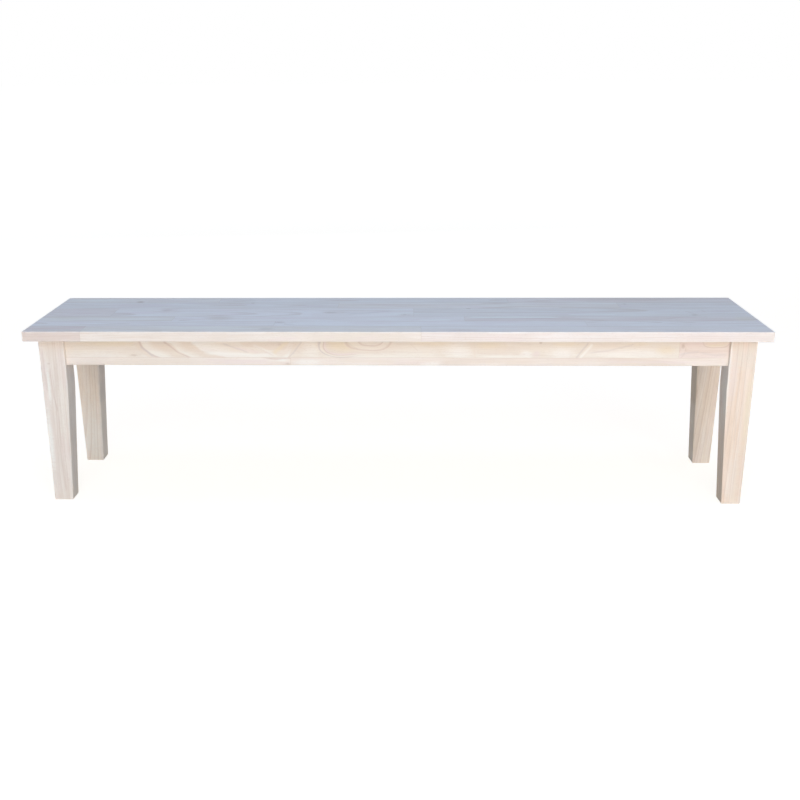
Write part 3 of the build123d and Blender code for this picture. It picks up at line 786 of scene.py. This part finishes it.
# Marks on the legs, from each one's left side to the right and from its top down. Some of them are painted
# shade: the lines down the inner faces and the patches noted below.
LEG_MARKS = {
    "leg_back_left": {
        # The tan patch near the top and the white one lower down paint the seat's shade on the front: warmer
        # and darker at the top, cooler towards the foot.
        "patches": [("tan", 40, 110, 60, 40, 110, 0.4), ("white", 25, 360, 60, 40, 170, 0.8)],
        # Both lines run down the inner face: the grey one paints the shade near its top, the ash one its
        # cooler grey shade lower down.
        "lines": [("grey", 66, 130, 60, 270, 0, 10, 0.8), ("ash", 63, 180, 48, 470, 0, 10, 0.5)],
    },
    "leg_back_right": {
        # Both umber lines run down the inner face and paint its darker, yellower shade near the top.
        "lines": [("umber", -2, 120, 4, 270, 0, 10, 0.7), ("umber", 0, 180, 14, 420, 0, 9, 0.2)],
    },
    "leg_front_left": {
        "knots": [(21, 64, 6, 20, 4, 0, 0.25)],
        "patches": [
            # The tan patch over the top of the leg paints the shade under the seat's overhang.
            ("tan", 30, 10, 60, 60, 80, 0.5), ("pink", 6, 100, 12, 30, 100, 0.5),
            ("white", 16, 125, 6, 30, 70, 1), ("white", 5, 270, 11, 30, 120, 1),
            ("light", 40, 260, 10, 60, 190, 0.7), ("cream", 54, 160, 12, 60, 120, 0.6),
        ],
        "lines": [
            ("brown", 24, 68, 33, 200, 4, 3, 0.6), ("brown", 33, 190, 31, 420, 3, 3, 0.5),
            ("brown", 27, 74, 22, 300, -3, 2.5, 0.5), ("brown", 8, 20, 11, 150, 0, 4, 0.4),
            # The ash line runs down the inner face and paints its cooler grey shade.
            ("brown", 44, 40, 41, 300, 2, 3, 0.3), ("ash", 69, 40, 50, 470, 0, 9, 0.5),
        ],
    },
    "leg_front_right": {
        "patches": [
            ("white", 0, 100, 10, 120, 300, 0.6), ("yellow", 57, 190, 14, 60, 150, 0.7),
            ("light", 40, 380, 26, 60, 160, 0.35), ("pink", 14, 90, 14, 30, 110, 0.5),
            # The tan patch over the top of the leg paints the shade under the seat's overhang.
            ("tan", 40, 20, 60, 60, 80, 1),
        ],
        "lines": [("brown", 30, 10, 33, 300, 2, 2.5, 0.25), ("brown", 42, 60, 40, 420, -2, 2.5, 0.25)],
    },
}
for name, tone in LEG_TONES_AND_PAINTED_LIGHT.items():
    low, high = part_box(name)
    heart = (chance(-0.08, -0.05), chance(0.02, 0.05))
    dress(name, wood(
        name, "z", tone, heart, ring_width=0.006, line=0.35, band=0.5, streak=0.7, wave=0.02,
        tilt=(chance(-0.01, 0.01), chance(-0.01, 0.01)), marks=LEG_MARKS[name],
        origin=Vector((low.x, low.y, high.z)), onward=DOWN, whole=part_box(name),
    ))

# Zinc-plated steel
ZINC_DARK = (0.60, 0.61, 0.63)
ZINC_LIGHT = (0.74, 0.74, 0.72)
ZINC_FACET = (0.52, 0.54, 0.58)
ZINC_BLOOMS = (45.0, 45.0, 45.0)
ZINC_BRUSHING = (900.0, 900.0, 120.0)
BRUSHING_HEIGHT = 0.000012
BRACKET_CRYSTALS = 260.0
FASTENER_CRYSTALS = 700.0


def make_zinc():
    """Zinc plating: large soft crystals, fine brushing, and a dull bloom that comes and goes."""
    tree, (place, crystals, seed), out = effect(
        "zinc_plating", ["Position"], ["Crystals", "Seed"], ["Color", "Roughness", "Height"],
    )
    cells = add(tree, "ShaderNodeTexVoronoi", voronoi_dimensions="4D")
    feed(tree, cells.inputs["Vector"], place)
    feed(tree, cells.inputs["W"], seed)
    feed(tree, cells.inputs["Scale"], crystals)
    bloom = speckle(tree, place, ZINC_BLOOMS, 4.0, 0.6, seed)
    brushing = speckle(tree, place, ZINC_BRUSHING, 2.0, 0.6, seed)
    split = add(tree, "ShaderNodeSeparateColor")
    feed(tree, split.inputs[0], cells.outputs["Color"])
    base = tint(tree, soft_step(tree, bloom, 0.35, 0.7), ZINC_DARK, ZINC_LIGHT)
    feed(tree, out["Color"], tint(tree, times(tree, split.outputs[0], 0.35), base, ZINC_FACET))
    dull = calc(tree, "MULTIPLY_ADD", bloom, 0.25, 0.2)
    feed(tree, out["Roughness"], calc(tree, "MULTIPLY_ADD", split.outputs[1], 0.1, dull))
    feed(tree, out["Height"], times(tree, brushing, BRUSHING_HEIGHT))
    return tree


ZINC = make_zinc()


def steel(name, crystals, seed):
    """Plated steel for a bracket or a kind of fastener."""
    made, tree = fresh_material(f"{name}_plating")
    place = add(tree, "ShaderNodeTexCoord").outputs["Object"]
    look = place_effect(tree, ZINC, Position=place, Crystals=crystals, Seed=seed)
    show_principled(tree, look["Color"], look, "Metallic", 1.0)
    return made


for seed, name in enumerate(name for name in sorted(nodes) if name.startswith("corner_bracket")):
    dress(name, steel(name, BRACKET_CRYSTALS, float(seed)))
for seed, name in enumerate(("flat_washers", "spring_washers", "hex_nuts")):
    dress(name, steel(name, FASTENER_CRYSTALS, 10.0 + seed))


# Threaded fasteners, each kind as one mesh in place of its plain CAD rods. Their sizes are in millimetres.
WELD = 0.0000005
COLUMNS = 16
DOME_ROWS = 6
SHARP_ANGLE = math.radians(32.0)
# Share of the pitch and rise of each point of a tooth, and the turns over which a thread gains its depth
MACHINE_TOOTH = ((0.10, 0.0), (0.44, 1.0), (0.56, 1.0), (0.90, 0.0))
WOOD_TOOTH = ((0.00, 0.0), (0.34, 0.1), (0.47, 1.0), (0.55, 1.0), (0.68, 0.1))
RISE_TURNS = 0.6
MACHINE_PITCH = 1.411
BOLT_CREST = 3.9
BOLT_CORE = 3.2
BOLT_NECK = 3.35
BOLT_WOOD_CORE = 2.9
BOLT_WOOD_PITCH = 3.2
BOLT_MACHINE_RUN = 29.0
BOLT_POINT = 7.0
BOLT_TIP = 0.9
SCREW_PITCH = 1.7
SCREW_CREST = 2.0
SCREW_CORE = 1.35
SCREW_NECK = 1.5
SCREW_POINT = 5.0
SCREW_TIP = 0.05
SCREW_PLAIN_SHARE = 0.3
HEAD_HEIGHT = 2.4
HEAD_RADIUS = 4.0
CROWN_RADIUS = 2.2
CROWN_HEIGHT = 1.6
# Radius, height and squareness of the drive's rows and of the head's rounded rim
DRIVE = ((0, 1.4, 1), (1.15, 1.4, 1), (1.3, 0.15, 1), (1.42, 0, 1))
HEAD_RIM = ((HEAD_RADIUS, 2.2, 0), (3.85, HEAD_HEIGHT, 0))


def rings(profile):
    """Rings round the Z axis from (radius, height, squareness) rows.

    A ring's reach at an angle is its radius, or by its squareness that radius over the larger of the angle's
    cosine and sine, which runs along a square.
    """
    radius, height, square = np.array(profile).T[:, :, None]
    angle = 2 * np.pi * np.arange(COLUMNS) / COLUMNS
    flat = 1 / np.maximum(abs(np.cos(angle)), abs(np.sin(angle)))
    reach = radius * (1 + square * (flat - 1))
    return np.stack([reach * np.cos(angle), reach * np.sin(angle), height + 0 * reach], -1)


def thread(knots, tooth):
    """A thread from (turns, height, core radius, depth) knots and (share of a pitch, rise) tooth points.

    Each row keeps its place in the tooth all the way round, so its count of turns grows by the share of the
    circle gone round. Height, core and depth are read from the knots at that count, and the radius is the
    core plus the depth times the tooth's rise. Counts past either end are held there, with a depth of zero.
    """
    turns, height, core, depth = np.array(knots).T
    share, rise = np.array(tooth).T
    whole = np.arange(-2, math.ceil(turns[-1]) + 2)
    round_share = np.arange(COLUMNS) / COLUMNS
    count = ((whole[:, None] + share).reshape(-1, 1) + round_share).clip(0, turns[-1])
    rises = np.tile(rise, len(whole))[:, None]
    reach = np.interp(count, turns, core) + np.interp(count, turns, depth) * rises
    angle = 2 * np.pi * round_share
    return np.stack([reach * np.cos(angle), reach * np.sin(angle), np.interp(count, turns, height)], -1)


def wrapped(grid, step):
    """The quads of a grid whose last column meets its first one, step rows further on."""
    rows, columns = grid.shape[:2]
    index = np.arange(rows * columns).reshape(rows, columns)
    closed = np.concatenate([index[:rows - step], index[step:, :1]], axis=1)
    return np.stack([closed[:-1, :-1], closed[:-1, 1:], closed[1:, 1:], closed[1:, :-1]], -1).reshape(-1, 4)


def welded(sections):
    """One closed template from (grid, step) sections that meet ring to ring: its points and its triangles."""
    points = np.concatenate([grid.reshape(-1, 3) for grid, step in sections]) * MM
    starts = np.cumsum([0] + [grid.shape[0] * grid.shape[1] for grid, step in sections])
    quads = np.concatenate([wrapped(grid, step) + start for (grid, step), start in zip(sections, starts)])
    work = bmesh.new()
    mesh = bpy.data.meshes.new("template")
    mesh.from_pydata(points.tolist(), [], quads.tolist())
    work.from_mesh(mesh)
    bmesh.ops.remove_doubles(work, verts=work.verts, dist=WELD)
    bmesh.ops.triangulate(work, faces=work.faces)
    work.to_mesh(mesh)
    work.free()
    points = np.empty(len(mesh.vertices) * 3, np.float32)
    mesh.vertices.foreach_get("co", points)
    corners = np.empty(len(mesh.loops), np.int32)
    mesh.loops.foreach_get("vertex_index", corners)
    bpy.data.meshes.remove(mesh)
    return points.reshape(-1, 3), corners.reshape(-1, 3)


def tapered_thread(start, end, point, pitch, core, depth, neck, tip):
    """The knots of a coarse wood thread between two heights, which narrows to a tip over its last run."""
    body_turns = (end - point - start) / pitch
    return [
        (0, start, neck, 0), (RISE_TURNS, start + RISE_TURNS * pitch, core, depth),
        (body_turns, end - point, core, depth), ((end - start) / pitch, end, tip, 0),
    ]


def pan_head_screw(length):
    """A screw from its head's top to its point: square drive, domed head, plain neck and wood thread."""
    dome = np.linspace(0, np.pi / 2, DOME_ROWS)
    dome_rows = np.stack([
        CROWN_RADIUS + (HEAD_RADIUS - CROWN_RADIUS) * np.sin(dome),
        CROWN_HEIGHT * (1 - np.cos(dome)),
        0 * dome,
    ], -1)
    head = [*DRIVE, *dome_rows, *HEAD_RIM, (SCREW_NECK, HEAD_HEIGHT, 0)]
    start = HEAD_HEIGHT + SCREW_PLAIN_SHARE * (length - HEAD_HEIGHT)
    knots = tapered_thread(
        start, length, SCREW_POINT, SCREW_PITCH, SCREW_CORE, SCREW_CREST - SCREW_CORE, SCREW_NECK, SCREW_TIP,
    )
    return welded([
        (rings(head), 0), (rings([head[-1], (SCREW_NECK, start, 0)]), 0),
        (thread(knots, WOOD_TOOTH), len(WOOD_TOOTH)), (rings([(SCREW_TIP, length, 0), (0, length, 0)]), 0),
    ])


def double_ended_bolt(length):
    """A leg bolt from its nut end to its point: a machine thread, a plain neck and a coarse wood thread."""
    turns = BOLT_MACHINE_RUN / MACHINE_PITCH
    machine_end = BOLT_MACHINE_RUN + MACHINE_PITCH
    start = machine_end + MACHINE_PITCH
    depth = BOLT_CREST - BOLT_CORE
    machine = [
        (0, 0, BOLT_CORE, 0), (RISE_TURNS, RISE_TURNS * MACHINE_PITCH, BOLT_CORE, depth),
        (turns, BOLT_MACHINE_RUN, BOLT_CORE, depth), (turns + 1, machine_end, BOLT_NECK, 0),
    ]
    coarse = tapered_thread(
        start, length, BOLT_POINT, BOLT_WOOD_PITCH, BOLT_WOOD_CORE, BOLT_CREST - BOLT_WOOD_CORE, BOLT_NECK,
        BOLT_TIP,
    )
    return welded([
        (rings([(0, 0, 0), (BOLT_CORE, 0, 0)]), 0), (thread(machine, MACHINE_TOOTH), len(MACHINE_TOOTH)),
        (rings([(BOLT_NECK, machine_end, 0), (BOLT_NECK, start, 0)]), 0),
        (thread(coarse, WOOD_TOOTH), len(WOOD_TOOTH)), (rings([(BOLT_TIP, length, 0), (0, length, 0)]), 0),
    ])


def solids_of(name):
    """The points of each solid of a CAD node. The lowest label spreads over each solid's triangles."""
    mesh = nodes[name].data
    mesh.calc_loop_triangles()
    points = np.empty(len(mesh.vertices) * 3, np.float32)
    mesh.vertices.foreach_get("co", points)
    corners = np.empty(len(mesh.loop_triangles) * 3, np.int32)
    mesh.loop_triangles.foreach_get("vertices", corners)
    spots, index = np.unique(points.reshape(-1, 3).round(6), axis=0, return_inverse=True)
    faces = index.ravel()[corners].reshape(-1, 3)
    label = np.arange(len(spots))
    settled = False
    while not settled:
        spread = label.copy()
        np.minimum.at(spread, faces, label[faces].min(axis=1, keepdims=True))
        settled = np.array_equal(spread, label)
        label = spread
    return [spots[label == one] for one in np.unique(label)]


def axis_of(points):
    """Where a turned solid starts, its way from the wider end to the narrower one, and its length."""
    middle = points.mean(0)
    way = np.linalg.svd(points - middle)[2][0]
    along = (points - middle) @ way
    across = np.linalg.norm(points - middle - np.outer(along, way), axis=1)
    near_low = across[along < along.min() + 0.1 * MM].max()
    near_high = across[along > along.max() - 0.1 * MM].max()
    if near_high > near_low:
        way, along = -way, -along
    return middle + along.min() * way, way, along.max() - along.min()


def fasteners(name, shape):
    """Every fastener of a CAD node as one mesh, each on its own CAD axis and turned by a chance angle."""
    all_points = []
    all_faces = []
    count = 0
    for solid in solids_of(name):
        start, way, length = axis_of(solid)
        points, faces = shape(length / MM)
        side = np.cross(way, (0.0, 0.0, 1.0) if abs(way[2]) < 0.9 else (1.0, 0.0, 0.0))
        side /= np.linalg.norm(side)
        roll = rng.uniform(0, 2 * np.pi)
        side = np.cos(roll) * side + np.sin(roll) * np.cross(way, side)
        all_points.append(start + points @ np.stack([side, np.cross(way, side), way]))
        all_faces.append(faces + count)
        count += len(points)
    mesh = bpy.data.meshes.new(f"{name}_threaded")
    mesh.from_pydata(np.concatenate(all_points).tolist(), [], np.concatenate(all_faces).tolist())
    mesh.shade_smooth()
    mesh.set_sharp_from_angle(angle=SHARP_ANGLE)
    piece = bpy.data.objects.new(f"{name}_threaded", mesh)
    bpy.context.scene.collection.objects.link(piece)
    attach(piece, "root")
    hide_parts(name)
    return piece


SHAPES = {
    "seat_screws": pan_head_screw,
    "rail_screws": pan_head_screw,
    "bracket_screws": pan_head_screw,
    "hanger_bolts": double_ended_bolt,
}
for seed, (name, shape) in enumerate(SHAPES.items()):
    fasteners(name, shape).data.materials.append(steel(name, FASTENER_CRYSTALS, 20.0 + seed))


# Floor, world and lamps
def plain_shader(tree, kind, colour):
    """A shader of one kind with a colour."""
    made = add(tree, f"ShaderNode{kind}")
    feed(tree, made.inputs["Color"], colour)
    return made


def either(tree, share, first, second):
    """The first shader where the share is 0 and the second where it is 1."""
    made = add(tree, "ShaderNodeMixShader")
    for socket, value in zip(made.inputs, (share, first.outputs[0], second.outputs[0])):
        feed(tree, socket, value)
    return made


def seen_directly(tree):
    """1 for camera, glossy and transmission rays, and 0 for the rays that light the object."""
    path = add(tree, "ShaderNodeLightPath")
    some = calc(tree, "MAXIMUM", path.outputs["Is Camera Ray"], path.outputs["Is Glossy Ray"])
    return calc(tree, "MAXIMUM", some, path.outputs["Is Transmission Ray"])


FLOOR_HALF = 60.0
FLOOR_BOUNCE = (0.56, 0.54, 0.52)
FLOOR_SHADOW = (0.3, 0.3, 0.3)
# White, less the share of light that the open floor gets near the bench and far from it
GLOW_NEAR = (0.87, 0.84, 0.795)
GLOW_FAR = (0.93, 0.915, 0.90)
NEAR, FAR = 2.0, 7.0
floor_mesh = bpy.data.meshes.new("floor")
floor_corners = [(x * FLOOR_HALF, y * FLOOR_HALF, 0.0) for x, y in ((-1, -1), (1, -1), (1, 1), (-1, 1))]
floor_mesh.from_pydata(floor_corners, [], [(0, 1, 2, 3)])
floor = bpy.data.objects.new("floor", floor_mesh)
bpy.context.scene.collection.objects.link(floor)
paper, tree = fresh_material("floor_paper")
floor_spot = add(tree, "ShaderNodeTexCoord").outputs["Object"]
from_bench = soft_step(tree, calc_vector(tree, "LENGTH", floor_spot), NEAR, FAR)
glow = plain_shader(tree, "Emission", tint(tree, from_bench, GLOW_NEAR, GLOW_FAR))
shadow = plain_shader(tree, "BsdfDiffuse", FLOOR_SHADOW)
both = add(tree, "ShaderNodeAddShader")
feed(tree, both.inputs[0], glow.outputs[0])
feed(tree, both.inputs[1], shadow.outputs[0])
top = either(tree, seen_directly(tree), plain_shader(tree, "BsdfDiffuse", FLOOR_BOUNCE), both)
from_below = add(tree, "ShaderNodeNewGeometry").outputs["Backfacing"]
show(tree, either(tree, from_below, top, add(tree, "ShaderNodeBsdfTransparent")))
floor.data.materials.append(paper)

HORIZON_LIGHT = (0.0, 0.0, 0.0)
ZENITH_LIGHT = (0.38, 0.49, 0.53)
WHITE = (1.0, 1.0, 1.0)
world = bpy.data.worlds.new("studio")
bpy.context.scene.world = world
world.use_nodes = True
tree = world.node_tree
tree.nodes.clear()
height = soft_step(tree, parts(tree, add(tree, "ShaderNodeTexCoord").outputs["Generated"])["Z"], 0.1, 1.0)
soft = plain_shader(tree, "Background", tint(tree, height, HORIZON_LIGHT, ZENITH_LIGHT))
show(tree, either(tree, seen_directly(tree), soft, plain_shader(tree, "Background", WHITE)), "World")


def lamp(name, place, target, size, light, colour):
    """A large soft lamp. light is its share of the level at which a colour renders as it is written."""
    data = bpy.data.lights.new(name, "AREA")
    data.shape = "RECTANGLE"
    data.size, data.size_y = size
    way = Vector(target) - Vector(place)
    data.energy = light * math.pi ** 2 * way.length ** 2
    data.color = colour
    made = bpy.data.objects.new(name, data)
    made.matrix_world = Matrix.Translation(place) @ way.to_track_quat("-Z", "Y").to_matrix().to_4x4()
    made.visible_camera = False
    bpy.context.scene.collection.objects.link(made)
    return made


WARM_WHITE = (1.0, 0.885, 0.80)
SKY_BLUE = (0.28, 0.60, 1.0)
COOL_BLUE = (0.28, 0.34, 1.0)
MIDDLE = (0.0, 0.0, 0.3)
LOW_HEIGHT = 0.228
LOW_TALL = 0.45


def low_lamp(name, x, y, width, light, spread, filled):
    """A lamp behind a grid, level with the bench, whose beam stays below the seat's top.

    Its power is the light over its own area. filled is the share of the grid's beam that its height fills.
    """
    made = lamp(name, (x, y, LOW_HEIGHT), (0.0, 0.0, LOW_HEIGHT), (width, LOW_TALL), light, WARM_WHITE)
    made.data.energy = light * math.pi * width * LOW_TALL / filled
    made.data.spread = math.radians(spread)


for name, place, size, light, colour in (
    ("high_front_lamp", (0.1, -4.2, 2.5), (2.4, 1.5), 0.19, WARM_WHITE),
    ("upper_front_lamp", (0.1, -3.0, 3.0), (2.4, 1.8), 0.245, SKY_BLUE),
    ("left_lamp", (-1.7, -4.1, 0.9), (1.6, 1.2), 0.185, WARM_WHITE),
    ("right_lamp", (2.0, -4.0, 0.9), (1.6, 1.2), 0.39, WARM_WHITE),
    ("back_lamp", (-0.5, 4.2, 1.2), (4.0, 1.6), 0.10, WHITE),
    ("overhead_lamp", (0.0, 0.3, 8.0), (6.0, 3.0), 0.19, COOL_BLUE),
):
    lamp(name, place, MIDDLE, size, light, colour)
low_lamp("low_back_lamp", 0.0, 4.2, 4.0, 0.42, 20.0, 0.50)
low_lamp("low_left_lamp", -3.4, 0.0, 0.6, 0.20, 1.0, 1.0)
low_lamp("low_right_lamp", 3.4, 0.0, 0.6, 0.20, 1.0, 1.0)
